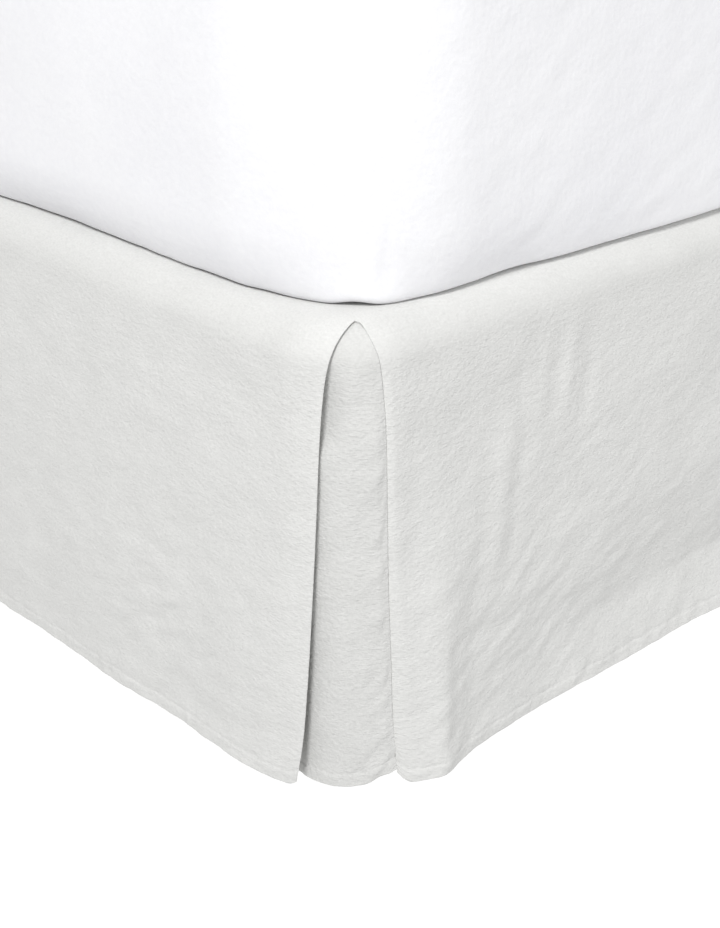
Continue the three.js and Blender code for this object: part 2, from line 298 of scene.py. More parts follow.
def panel_relief(along, down):
    """The numbers after down are a crinkle's length, width, lean and seed."""
    fine = 0.4 * crinkle(along, down, 17, 7, 12, 11) + 0.2 * crinkle(along, down, 9, 4.5, -20, 12)
    soft = 0.85 * crinkle(along, down, 40, 18, 22, 13)
    slow = 2.2 * crinkle(along, down, 150, 85, 30, 14)
    leaning = sum(
        height * crinkle(along, down, *shape) * patch(along, down, middle, reach)
        for height, shape, middle, reach in PATCHES
    )
    total = fine + soft * (0.4 + 0.6 * smoothstep(down, 80, 300)) + slow + leaning
    for start, end, width, height in CREASES:
        total = total + crease(along, down, start, end, width, height)
    kick_depth = smooth_curve(along, KICK_PLACES, KICK_DEPTHS)
    off_above = np.sqrt(np.maximum(kick_depth - down, 0) ** 2 + KICK_ROUND ** 2)
    off_below = np.sqrt(np.maximum(down - kick_depth, 0) ** 2 + KICK_ROUND ** 2)
    above, below = 1 - off_above / KICK_ABOVE, 1 - off_below / (KICK_END - kick_depth)
    trough = np.clip(np.where(down < kick_depth, above, below), 0, 1)
    trough = trough * (1 + 0.15 * (trough - 1))
    starts, ends = smoothstep(along, 930, 1110), 1 - smoothstep(along, 1400, 1700)
    total = total - KICK_IN * trough * starts * ends
    return total * smoothstep(down, 22, 80)


HEM_HEIGHT = 13.0
HEM_BEND = 0.34  # half the distance between the hem's two layers
HEM_PROUD = 0.45
CLOTH = 0.5  # thickness of the linen
STITCH_HEIGHT = 9.0
GROOVE = 0.35  # how deep the stitches pull the cloth in
PUCKERS = ((0.85, 9.0, 30.0, 21), (0.8, 23.0, 40.0, 22))  # height, length, width and seed


def hem_relief(along, above_hem):
    """The doubled hem stands a little proud, with a sewn groove and puckers above it."""
    band = HEM_PROUD * smoothstep(-above_hem, -STITCH_HEIGHT - 2.2, -STITCH_HEIGHT)
    groove = -GROOVE * bell((above_hem - STITCH_HEIGHT - 2.6) / 1.6)
    near = bell((above_hem - STITCH_HEIGHT) / 9.0)
    pucker = sum(
        height * near * gradient_noise(along / length, above_hem / width, seed)
        for height, length, width, seed in PUCKERS
    )
    return band + groove + pucker


print("Relief set, hem", HEM_HEIGHT, "mm high")

# %% [markdown]
# ## The inverted pleat
# The foot panel and the side panel part at the corner in a narrow arch that widens to the hem.
# `opening` is how far a panel's edge is from the pleat's middle at a depth, and `pleat_middle`
# is where that middle lies. It leans a little, because the cloth does. Each panel's edge is
# folded back behind it, and the underlay closes the opening from behind.

# %% Pleat
PLEAT_APEX = 0.8
OPENING_DEPTHS = (0.8, 2, 5, 9, 15, 25, 45, 80, 140, 215, 295, 340, 380)
LEFT_OPENINGS = (0, 4.8, 10.2, 14.4, 18.0, 21.2, 24.4, 26.8, 28.6, 31.6, 35.8, 39.2, 43.6)
RIGHT_OPENINGS = (0, 5.1, 7.4, 9.5, 12.0, 15.2, 18.8, 22.6, 26.4, 31.6, 38.2, 42.0, 45.5)
SEAM_HALF_GAP = 0.02
RETURN_LENGTH = 68.0
PLEAT_SHIFT = 13.0  # the apex lies this far to the right of the corner
PLEAT_LEAN = 10.0  # and the hem this much less


def opening(depth, face):
    return smooth_curve(depth, OPENING_DEPTHS, LEFT_OPENINGS if face == "foot" else RIGHT_OPENINGS)


def pleat_middle(depth):
    return CORNER_MIDDLE + PLEAT_SHIFT - PLEAT_LEAN * np.maximum(0, depth) / DROP


def edge_at(face, run):
    depth = depth_at(run)
    way = -1 if face == "foot" else 1
    return pleat_middle(depth) + way * (SEAM_HALF_GAP + opening(depth, face))


print("Opening at the hem:", round(float(opening(DROP, "foot") + opening(DROP, "side")), 1), "mm")

# %% [markdown]
# ## Rows of a sheet
# Rows lie close together where the cloth bends: over the shoulder, round the arch of the pleat
# and at the hem. The hem is a real fold. Its rows go round a tight half circle and back up
# behind the cloth, so the edge is round and double, as a sewn hem is.

# %% Rows
def spaced(start, end, step):
    count = max(1, round((end - start) / step))
    return np.linspace(start, end, count + 1)


def stepped(marks):
    """Numbers through marks of (place, step), with each step used up to the next mark."""
    found = [np.array([marks[0][0]], float)]
    for (start, step), (end, _) in zip(marks, marks[1:]):
        found.append(spaced(start, end, step)[1:])
    return np.concatenate(found)


def hem_rows(front, rough=1.0):
    """front is the rows down to the start of the hem; returns run, inner offset and cloth v."""
    last = HEM_RUN - HEM_BEND
    down = spaced(front[-1], last, 1.3 * rough)[1:]
    bend = np.radians([30, 60, 90, 120, 150, 180])
    up = np.array([3.0, 7.0, 10.0, HEM_HEIGHT]) * -1
    run = np.concatenate([front, down, last + HEM_BEND * np.sin(bend), last + up])
    round_inner, back_inner = HEM_BEND * (1 - np.cos(bend)), 0 * up + 2 * HEM_BEND
    inner = np.concatenate([0 * front, 0 * down, round_inner, back_inner])
    v = np.concatenate([front, down, last + HEM_BEND * bend, last + HEM_BEND * math.pi - up])
    return run, inner, v


APEX_RUN = run_at_depth(PLEAT_APEX)
PANEL_FRONT = stepped([(0, 14), (FLANGE_RUN, 4.8), (APEX_RUN, 1.3), (APEX_RUN + 13, 2.3),
                       (FLANGE_RUN + SHOULDER_ARC, 2.75), (HEM_RUN - 16, 0.9), (HEM_RUN - 7, 1)])
PANEL_ROWS = hem_rows(PANEL_FRONT)
APEX_ROW = int(np.argmin(np.abs(PANEL_FRONT - APEX_RUN)))
print("Rows of a panel:", len(PANEL_ROWS[0]), "with the apex at row", APEX_ROW)

# %% [markdown]
# ## From a grid to a piece of cloth
# A grid of points becomes a mesh of quads on the middle surface of the cloth, with a UV map that
# holds the distance along and down the cloth in metres. The weave is laid out with it later.
# The Solidify modifier then gives the cloth its thickness and closes its edges.

# %% Cloth mesh
def all_quads(points):
    return np.ones((points.shape[0] - 1, points.shape[1] - 1), bool)


def cloth_mesh(name, points, u, v, keep, thickness=CLOTH):
    """points is rows x columns x 3 in mm; keep says which quads exist."""
    rows, columns = points.shape[:2]
    index = np.arange(rows * columns).reshape(rows, columns)
    quads = np.stack([index[:-1, :-1], index[1:, :-1], index[1:, 1:], index[:-1, 1:]], axis=-1)[keep]
    used = np.unique(quads)
    new_index = np.zeros(rows * columns, int)
    new_index[used] = np.arange(len(used))
    quads = new_index[quads.reshape(-1, 4)]
    flat = points.reshape(-1, 3)[used] * MM
    flat[:, 0] += BED_MIDDLE.x
    flat[:, 1] += BED_MIDDLE.y
    mesh = bpy.data.meshes.new(name)
    mesh.from_pydata(flat.tolist(), [], quads.tolist())
    uv = mesh.uv_layers.new(name="cloth")
    cloth_uv = np.stack([np.broadcast_to(part, (rows, columns)) for part in (u, v)], -1)
    uv.data.foreach_set("uv", (cloth_uv.reshape(-1, 2)[used][quads.ravel()] * MM).ravel())
    piece = placed(name, mesh)
    solid = piece.modifiers.new("thickness", "SOLIDIFY")
    solid.thickness = thickness * MM
    solid.offset = 0
    return finished(piece)


SHARP_EDGE = 50  # degrees; a sharper edge than this stays crisp


def finished(piece):
    """Applies the modifiers, smooths the shading and keeps it crisp at true edges."""
    graph = bpy.context.evaluated_depsgraph_get()
    mesh = bpy.data.meshes.new_from_object(piece.evaluated_get(graph))
    piece.modifiers.clear()
    piece.data = mesh
    mesh.shade_smooth()
    mesh.set_sharp_from_angle(angle=math.radians(SHARP_EDGE))
    mesh.update()
    triangles = sum(len(p.vertices) - 2 for p in mesh.polygons)
    print(piece.name, "has", triangles, "triangles")
    return piece


# %% [markdown]
# ## Folded edges
# At the pleat a panel turns back on itself. The columns go round a half circle and then run
# behind the panel. On the foot panel the fold is pressed tight. On the side panel it is a soft
# roll that grows towards the hem, where the corner of the cloth also curls up a little. Away
# from the fold the return lies a little further behind, so that the crinkles of the two layers
# stay clear of each other.

# %% Columns of a panel
FOLD_BEND = 0.6  # half the distance between a panel and its return, at the hem
TOP_BEND = 0.42  # and near the apex of the pleat, where it is pressed flat


def fold_bend(depth):
    return TOP_BEND + (FOLD_BEND - TOP_BEND) * smoothstep(depth, 60, 300)


FOLD_STEPS = np.radians([90, 65, 40, 15, -15, -40, -65, -90])
RETURN_STEPS = np.array([3, 6, 9, 12, 15.5, 19, 23, 27, 31, 35.5, 40, 45, 50, 56, 62, RETURN_LENGTH])
RETURN_CLEAR = 0.6  # a return lies this much further behind, away from its fold


def return_clear(off_fold):
    return RETURN_CLEAR * smoothstep(off_fold, 2, 12)


def edge_roll(face, off_edge, depth):
    """How far the panel's surface curves inwards as it nears its folded edge. On the side panel
    the roll grows twice: just below the shoulder and then slowly down to the hem."""
    if face == "foot":
        return 0.5 * np.clip(1 - off_edge / 4.0, 0, 1) ** 2 * smoothstep(depth, 3, 20)
    size = 1.2 * smoothstep(depth, 8, 50) + 3.2 * smoothstep(depth, 90, 370)
    width = 7.0 + 6.0 * smoothstep(depth, 70, 360)
    return size * np.clip(1 - off_edge / width, 0, 1) ** 2


FOOT_CURL, SIDE_CURL = (3.0, 8.0), (9.0, 9.0)  # lift of the corner, and how wide it is


def corner_lift(face, off_edge, run):
    """How far the hem curls up at the panel's lower corner."""
    lift, width = FOOT_CURL if face == "foot" else SIDE_CURL
    low = smoothstep(run, HEM_RUN - 55, HEM_RUN)
    return lift * np.clip(1 - off_edge / width, 0, 1) ** 2 * low


def calm_near_fold(off_fold):
    """The share of the relief that a pressed fold leaves in the cloth beside it."""
    return 0.35 + 0.65 * smoothstep(off_fold, 0, 25)


def folded_columns(face, run, shares, far_end):
    """The panel from far_end to its edge, the fold and the return, for each row.

    shares goes from 0 at far_end to 1 at the edge. Gives along, behind, the direction towards
    the inside of the fold, the distance from the edge, and the cloth's own u."""
    inward = -1 if face == "foot" else 1
    edge = edge_at(face, run)[:, None]
    depth = depth_at(run)[:, None]
    bend = fold_bend(depth)
    bulge = bend * smoothstep(depth - PLEAT_APEX, 0, 10)
    last = edge + inward * bulge
    turn, back = FOLD_STEPS[None, 1:], RETURN_STEPS[None, :]
    flat_along = far_end + (last - far_end) * shares[None, :]
    fold_along = edge + inward * bulge * (1 - np.cos(turn))
    back_along = last + inward * back
    along = np.concatenate([flat_along, fold_along, back_along], axis=1)
    fold_behind, back_behind = bend * (1 - np.sin(turn)), 2 * bend + return_clear(back)
    behind = np.concatenate([0 * flat_along, fold_behind, back_behind], axis=1)
    off_edge = np.abs(along - edge)
    behind = behind + edge_roll(face, off_edge, depth)
    turn_along, turn_behind = inward * np.cos(turn) + 0 * edge, np.sin(turn) + 0 * edge
    inside_along = np.concatenate([0 * flat_along, turn_along, 0 * back_along], axis=1)
    inside_behind = np.concatenate([0 * flat_along + 1, turn_behind, 0 * back_along - 1], axis=1)
    arc = bend * (math.pi / 2 - turn)
    back_u = last - inward * (math.pi * bend + back)
    u = np.concatenate([flat_along, last - inward * arc, back_u], axis=1)
    return along, behind, inside_along, inside_behind, off_edge, u


PUFF = 0.4  # high on the panel, the cloth swells this much beside its fold


def panel_points(face, side, rows, along, behind, inside_along, inside_behind, off_edge):
    run, inner, _ = rows
    along = along + inner[:, None] * inside_along
    behind = behind + inner[:, None] * inside_behind
    run_here = run[:, None] - corner_lift(face, off_edge, run[:, None])
    depth = depth_at(run_here)
    relief = panel_relief(side * along, depth)
    relief = relief * calm_near_fold(off_edge)
    relief = relief + hem_relief(side * along, HEM_RUN - run[:, None])
    puff = smoothstep(depth, 15, 50) * (1 - smoothstep(depth, 110, 260))
    relief = relief + PUFF * puff * bell((off_edge - 4.5) / 3.2)
    return cloth_point(side * along, run_here, behind, 1.0, relief)


FOLD_COLUMNS = len(FOLD_STEPS) - 1 + len(RETURN_STEPS)
print("Columns in a fold and its return:", FOLD_COLUMNS)

# %% [markdown]
# ## Foot panel
# The foot panel is one width of linen with a fold and a return at each end. Its columns are
# close together towards the corner that the picture shows and wider apart elsewhere, which
# keeps the mesh light where the cloth is calm.

# %% Foot panel
def column_shares(marks):
    """Shares from 0 at the panel's far end to 1 at its edge; marks are (share, step in share)."""
    return stepped(marks + [(1.0, 0)])


def foot_panel():
    rows = PANEL_ROWS
    run = rows[0]
    near_shares = column_shares([(0.0, 0.0132), (0.4, 0.0042), (0.93, 0.0022)])
    far_shares = column_shares([(0.0, 0.022), (0.9, 0.009)])
    near = folded_columns("foot", run, near_shares, 0.0)
    far = folded_columns("foot", run, far_shares, 0.0)
    near_points = panel_points("foot", 1, rows, *near[:5])
    far_points = panel_points("foot", -1, rows, *far[:5])
    points = np.concatenate([far_points[:, ::-1], near_points[:, 1:]], axis=1)
    u = np.concatenate([-far[5][:, ::-1], near[5][:, 1:]], axis=1)
    keep = all_quads(points)
    keep[:APEX_ROW, :FOLD_COLUMNS] = False
    keep[:APEX_ROW, -FOLD_COLUMNS:] = False
    return cloth_mesh("linen_foot_panel", points, u, rows[2][:, None], keep)


linen_foot_panel = foot_panel()

# %% [markdown]
# ## Side panels
# Each side panel runs from the pleat to the head of the bed, where it ends in a narrow turned
# edge. The left one is out of the picture, so it is the same cloth on a wider grid.

# %% Side panels
HEAD_TURN = 10.0  # cloth turned in at the head end
FAR_OFF = 999.0  # distance from the pleat's edge, for the columns at the head


def side_panel(name, side, marks):
    rows = PANEL_ROWS
    run = rows[0]
    start = HEAD_END - FOLD_BEND
    along, behind, in_along, in_behind, off_edge, u = folded_columns(
        "side", run, column_shares(marks), start
    )
    bend = np.radians([-90, -60, -30, 0, 30, 60])
    back = np.array([HEAD_TURN, 5.0])
    arc = FOLD_BEND * (math.pi / 2 - bend)
    pressed = 0.4 + 0.6 * smoothstep(depth_at(run), 8, 30)[:, None]

    def with_head(back_part, bend_part, panel, share=np.ones((len(run), 1))):
        """The columns of the turned edge at the head, then the panel's own."""
        return np.concatenate([np.concatenate([back_part, bend_part])[None] * share, panel], axis=1)

    points = panel_points(
        "side", side, rows,
        with_head(start - back, start + FOLD_BEND * np.cos(bend), along),
        with_head(0 * back + 2 * FOLD_BEND, FOLD_BEND * (1 - np.sin(bend)), behind, pressed),
        with_head(0 * back, -np.cos(bend), in_along),
        with_head(0 * back - 1, np.sin(bend), in_behind),
        with_head(0 * back + FAR_OFF, 0 * bend + FAR_OFF, off_edge),
    )
    u = side * with_head(start + FOLD_BEND * math.pi + back, start + arc, u)
    keep = all_quads(points)
    keep[:APEX_ROW, -FOLD_COLUMNS:] = False
    if side > 0:
        points, u, keep = points[:, ::-1], u[:, ::-1], keep[:, ::-1]
    return cloth_mesh(name, points, u, rows[2][:, None], keep)


right_marks = [(0.0, 0.0085), (0.78, 0.0016), (0.985, 0.0008)]
linen_right_panel = side_panel("linen_right_panel", 1, right_marks)
linen_left_panel = side_panel("linen_left_panel", -1, [(0.0, 0.0085), (0.97, 0.002)])

# %% [markdown]
# ## Pleat underlays
# The underlay is a separate width of linen behind the opening. On the left it hangs well behind
# the foot panel, whose edge throws the pleat's dark line on it. On the right it comes forward,
# lies against the side panel's fold and follows it round, so that no gap shows there. Its UV is
# laid out further along the same bolt of linen, which the linen material takes as its sign to
# paint it a shade darker: painted shade for the recess behind the panels.

# %% Pleat underlays
UNDERLAY_GAP = 0.8
PAINTED_SHADE_SHIFT = 6000.0  # the underlays' UV is shifted this far along the bolt, which marks them for the linen's painted shade
EDGE_CLEAR = 0.6  # between the middles of the underlay and of the side panel's folded edge
HIDDEN_CLEAR = 1.8  # behind a return, the underlay gives way this many times as far as it
SEEN_WIDTH = 70.0  # about how much shows, for the spacing of its columns
WRAP_START = 0.5  # the columns that show end this far before those that wrap the fold
WRAP = np.radians([0, 30, 60, 90])[None, :]
GAP_DEPTHS = (0, 25, 60, 80, 100, 150, 250, 380)
FOOT_GAPS = (0.5, 3, 8, 7.5, 4.0, 6, 9.5, 13.5)  # behind the foot panel's edge, at each depth
MIDDLE_GAPS = (0, 0, 0.5, 1, 1.5, 3.5, 7, 11)  # and in the middle of the opening
LIFT_SHARES, LIFTS = (0.1, 0.34, 0.67, 1.06, 1.5), (0, 1.5, 7.5, 13, 16)  # of the hem


def underlay_columns(depth, column_step):
    """The columns' distances from the pleat's middle, and which of them wrap the fold."""
    bend = fold_bend(depth)
    left_half, right_half = opening(depth, "foot"), opening(depth, "side")
    hidden = spaced(0, 1, column_step / RETURN_LENGTH)[None, :]
    step = column_step / SEEN_WIDTH
    seen = stepped([(0, step), (0.85, 0.4 * step), (1, 1)])[None, :]
    left = -left_half - RETURN_LENGTH * hidden[:, :0:-1]
    middle = -left_half + (left_half + right_half - EDGE_CLEAR - WRAP_START) * seen
    wrap = right_half + bend - (bend + EDGE_CLEAR) * np.cos(WRAP)
    right = right_half + bend + RETURN_LENGTH * hidden[:, 1:]
    first = left.shape[1] + middle.shape[1]
    wrapped = slice(first, first + wrap.shape[1])
    return np.concatenate([left, middle, wrap, right], axis=1), wrapped


def underlay_behind(depth, off_foot, off_side, share, follow, wrapped):
    """How far the underlay hangs behind the surface of the panels."""
    bend = fold_bend(depth)
    foot_gap = smooth_curve(depth, GAP_DEPTHS, FOOT_GAPS)
    middle_gap = smooth_curve(depth, GAP_DEPTHS, MIDDLE_GAPS)
    hung = 2 * bend + UNDERLAY_GAP
    edge_level = edge_roll("side", 0, depth)
    touching = smoothstep(depth, 2.5, 6)
    near_edge = edge_level + 0.9 * bend * touching + hung * (1 - touching)
    hump = 1.3 * bell((off_side + 9) / 5) * smoothstep(depth, 25, 70)
    level = np.where(
        share > 0,
        hung + middle_gap + (near_edge - hung - middle_gap) * smoothstep(share, 0.1, 0.95),
        hung + middle_gap + (foot_gap - middle_gap) * smoothstep(-share, 0, 1),
    ) - hump
    behind_side = hung + edge_roll("side", np.abs(off_side), depth)
    behind_side = behind_side + HIDDEN_CLEAR * return_clear(off_side)
    behind = np.where(off_side > 0, behind_side, level)
    round_edge = edge_level + bend + (bend + EDGE_CLEAR) * np.sin(WRAP)
    behind[:, wrapped] = round_edge * touching + (hung + edge_level) * (1 - touching)
    behind_foot = hung + foot_gap * (1 - follow) + HIDDEN_CLEAR * return_clear(off_foot)
    return np.where(off_foot > 0, behind_foot, behind)


def underlay(name, side, column_step, row_step):
    front = stepped([(run_at_depth(1.0), row_step * 0.7), (FLANGE_RUN + SHOULDER_ARC, row_step),
                     (HEM_RUN - 18, 1)])
    run, inner, v = hem_rows(front, row_step / 2.75)
    depth = depth_at(run)[:, None]
    left_half, right_half = opening(depth, "foot"), opening(depth, "side")
    from_middle, wrapped = underlay_columns(depth, column_step)
    off_side, off_foot = from_middle - right_half, -from_middle - left_half
    on_right = from_middle > 0
    share = from_middle / np.where(on_right, right_half, left_half + WRAP_START)
    follow = np.where(
        on_right,
        smoothstep(share, 0.3, 0.97),
        smoothstep(-from_middle, left_half + 8, left_half + RETURN_LENGTH),
    )
    behind = underlay_behind(depth, off_foot, off_side, share, follow, wrapped)
    behind = behind + inner[:, None]
    along = pleat_middle(depth) + from_middle
    visible = smoothstep(share, -1.3, -0.9) * (1 - smoothstep(share, 0.8, 0.97))
    own = 0.3 * crinkle(along, depth, 15, 6, 30, 31) + 1.0 * crinkle(along, depth, 60, 22, 48, 32)
    steep = smoothstep(share, 0.1, 0.7) * smoothstep(depth, 60, 120)
    own = own + 1.3 * crinkle(along, depth, 34, 11, 50, 33) * steep
    followed = panel_relief(side * along, depth) * follow
    followed = followed * calm_near_fold(np.maximum(off_side, off_foot))
    relief = followed + own * visible * smoothstep(depth, 5, 50)
    relief = relief + hem_relief(side * along, HEM_RUN - run[:, None])
    lift = smooth_curve(share, LIFT_SHARES, LIFTS)
    lift = lift * smoothstep(run[:, None], HEM_RUN - 70, HEM_RUN)
    points = cloth_point(side * along, run[:, None] - lift, behind, follow, relief)
    if side < 0:
        points = points[:, ::-1]
        along = along[:, ::-1]
    # the shifted UV marks the underlays for the linen's painted shade
    return cloth_mesh(name, points, along + PAINTED_SHADE_SHIFT, v[:, None], all_quads(points))


underlay_right = underlay("pleat_underlay_right", 1, 2.2, 2.75)
underlay_left = underlay("pleat_underlay_left", -1, 4.4, 4.0)

# %% [markdown]
# ## Deck
# The deck is the plain cotton sheet between the base and the mattress. It is nearly flat, with
# the slight waves of a sheet that was smoothed by hand.

# %% Deck
DECK_GAP = 0.3  # between the deck and the panels that are sewn to it
DECK_CLOTH = 0.6  # thickness of the cotton
DECK_CUT = 30.0  # the foot corners are cut back a little over this length


def deck_sheet():
    half_x = HALF_WIDTH - FLANGE - DECK_GAP
    foot, head = -HALF_LENGTH + FLANGE + DECK_GAP, HALF_LENGTH - HEAD_GAP
    x = spaced(-half_x, half_x, 24)[None, :]
    y = spaced(foot, head, 24)[:, None]
    wave = 0.05 * gradient_noise(x / 90, y / 120, 41)
    near_side = np.clip((np.abs(x) - half_x + DECK_CUT) / DECK_CUT, 0, 1)
    corner = 4.0 * near_side * np.clip((foot + DECK_CUT - y) / DECK_CUT, 0, 1)
    grid = np.stack([x - np.sign(x) * corner + 0 * y, y + corner, BASE_TOP + 0.9 + wave], axis=-1)
    u, v = x + 0 * y, y[::-1] + 0 * x
    return cloth_mesh("cotton_deck", grid[::-1], u, v, all_quads(grid), DECK_CLOTH)


cotton_deck = deck_sheet()

# %% [markdown]
# ## Mattress and base
# Both are soft blocks: a box with rounded corners in plan and rounded upper and lower edges,
# covered in cloth. One function maps a box of quads on to that shape, and another pushes its
# surface in and out for the cover's crown, seams and puckers.

# %% Soft block
def block_grid(x_lines, y_lines, z_lines):
    """A closed box of quads with the given grid lines."""
    corners, faces, index = [], [], {}

    def vertex(point):
        if point not in index:
            index[point] = len(corners)
            corners.append(point)
        return index[point]

    def side(first, second, place):
        for a0, a1 in zip(first, first[1:]):
            for b0, b1 in zip(second, second[1:]):
                corner_marks = ((a0, b0), (a1, b0), (a1, b1), (a0, b1))
                faces.append([vertex(place(a, b)) for a, b in corner_marks])

    xs, ys, zs = [[round(float(v), 4) for v in lines] for lines in (x_lines, y_lines, z_lines)]
    side(xs, ys, lambda a, b: (a, b, zs[-1]))
    side(ys, xs, lambda a, b: (b, a, zs[0]))
    side(xs, zs, lambda a, b: (a, ys[0], b))
    side(zs, xs, lambda a, b: (b, ys[-1], a))
    side(ys, zs, lambda a, b: (xs[-1], a, b))
    side(zs, ys, lambda a, b: (xs[0], b, a))
    return np.array(corners), np.array(faces)


def soft_block(points, half_x, half_y, corner, low_edge, high_edge, bottom, top):
    """Rounds the box in plan and along its edges. Also gives each point's outward direction,
    its outward direction in plan and its distance in from the side."""
    x, y, z = points.T
    far_x = np.sign(x) * np.maximum(0, np.abs(x) - (half_x - corner))
    far_y = np.sign(y) * np.maximum(0, np.abs(y) - (half_y - corner))
    size = np.maximum(np.abs(far_x), np.abs(far_y))
    length = np.maximum(np.hypot(far_x, far_y), 1e-9)
    out_x, out_y = far_x / length, far_y / length
    inset = corner - size
    high = np.minimum(z - bottom, top - z)
    way = np.where(z - bottom < top - z, -1.0, 1.0)
    edge = np.where(way < 0, low_edge, high_edge)
    in_edge = (inset < edge) & (high < edge)
    from_side, from_face = inset - edge, high - edge
    arc = np.maximum(np.hypot(from_side, from_face), 1e-9)
    new_inset = np.where(in_edge, edge + from_side / arc * edge, inset)
    new_high = np.where(in_edge, edge + from_face / arc * edge, high)
    radius = corner - new_inset
    core_x, core_y = x - far_x, y - far_y
    moved = np.stack([
        np.where(size > 0, core_x + out_x * radius, x),
        np.where(size > 0, core_y + out_y * radius, y),
        np.where(way < 0, bottom + new_high, top - new_high),
    ], axis=-1)
    side_share = np.where(in_edge, -from_side / arc, (high > 1e-6) * 1.0)
    face_share = np.where(in_edge, -from_face / arc, (high <= 1e-6) * 1.0) * way
    normal = np.stack([out_x * side_share, out_y * side_share, face_share], axis=-1)
    return moved, normal, np.stack([out_x, out_y, 0 * out_x], axis=-1), new_inset


def block_mesh(name, points, faces):
    mesh = bpy.data.meshes.new(name)
    in_metres = points * MM + np.array([BED_MIDDLE.x, BED_MIDDLE.y, 0])
    mesh.from_pydata(in_metres.tolist(), [], faces.tolist())
    return finished(placed(name, mesh))


def round_the_bed(points, corner):
    """Distance round the bed from the middle of the foot, for relief that follows the sides."""
    x, y = np.abs(points[:, 0]), points[:, 1]
    core_x, core_y = HALF_WIDTH - corner, HALF_LENGTH - corner
    arc = corner * math.pi / 2
    foot_turn = np.arctan2(np.maximum(x - core_x, 0), np.maximum(-y - core_y, 1e-6))
    head_turn = np.arctan2(np.maximum(y - core_y, 0), np.maximum(x - core_x, 1e-6))
    on_foot, on_side = np.minimum(x, core_x) + corner * foot_turn, core_x + arc + y + core_y
    along = np.where(y < -core_y, on_foot, on_side)
    to_head = core_x + arc + 2 * core_y + corner * head_turn + core_x - np.minimum(x, core_x)
    along = np.where(y > core_y, to_head, along)
    return np.sign(points[:, 0]) * along


# %% [markdown]
# ## Mattress
# The mattress wears a plain white cotton fitted cover. Its sides swell a little, a seam runs
# down each corner, and low on the sides the cover is drawn in under the edge, which lifts it in
# some places and lets it hang lower in others.

# %% Mattress
MATTRESS_BOTTOM, MATTRESS_TOP = 391.4, 691.8
MATTRESS_CORNER, LOW_EDGE, TOP_EDGE = 130.0, 5.0, 26.0
MATTRESS_IN = 10.0  # the cover's walls stand in this far, which leaves room for its lower edge
TUCK_PLACES = (-3500, -2000, -900, 200, 406, 500, 580, 655.2, 705.9, 730.8, 754.7,
               814.4, 894.3, 964.3, 1034.3, 1099.3, 1389.3, 2599.2)
TUCKS = (12, 8, 16, 12, 21, 17, 15, 15.2, 6.8, 1.2, -2.2, 8.2, 11.6, 7, 5, 2, 8, 11)
TUCK_HEIGHT = 52.0  # the cover is drawn in up to here
LIFTED = ((2.8, 747, 15), (0.9, 905, 26))  # where the lower edge hangs free: height, place, reach
SEAM_HEIGHT = 1.5
SEAM_TURN, SEAM_LEAN = 33, 8  # degrees round the corner from the side, and how much more on top
SWELL, CROWN = 2.5, 7.0  # how far the sides and the top stand out in their middles


def lower_edge(along, z, inset):
    """How far the cover's lower edge is drawn in, and how far it hangs free of the skirt."""
    up = z - MATTRESS_BOTTOM
    low = (1 - np.clip(up / TUCK_HEIGHT, 0, 1)) ** 2.1
    draw = -smooth_curve(along, TUCK_PLACES, TUCKS) * low * (1 - smoothstep(inset, 15, 100))
    raised = sum(high * bell((along - place) / reach) for high, place, reach in LIFTED)
    raised = raised * (1 - smoothstep(z, MATTRESS_BOTTOM, MATTRESS_BOTTOM + 45))
    return low, draw, raised * (1 - smoothstep(inset, 30, 90))


def corner_seam(x, y, up, half_x, half_y):
    """A narrow ridge beside a valley, where the cover is sewn down each corner."""
    corner_x, corner_y = half_x - MATTRESS_CORNER, half_y - MATTRESS_CORNER
    turned = np.degrees(np.arctan2(np.abs(y) - corner_y, np.abs(x) - corner_x))
    in_corner = (np.abs(x) > corner_x) & (np.abs(y) > corner_y)
    off_seam = np.radians(turned - SEAM_TURN - SEAM_LEAN * up) * MATTRESS_CORNER
    ridge = SEAM_HEIGHT * bell((off_seam - 1.2) / 2.2)
    valley = SEAM_HEIGHT * bell((off_seam + 2.2) / 2.0)
    return in_corner * (ridge - valley)


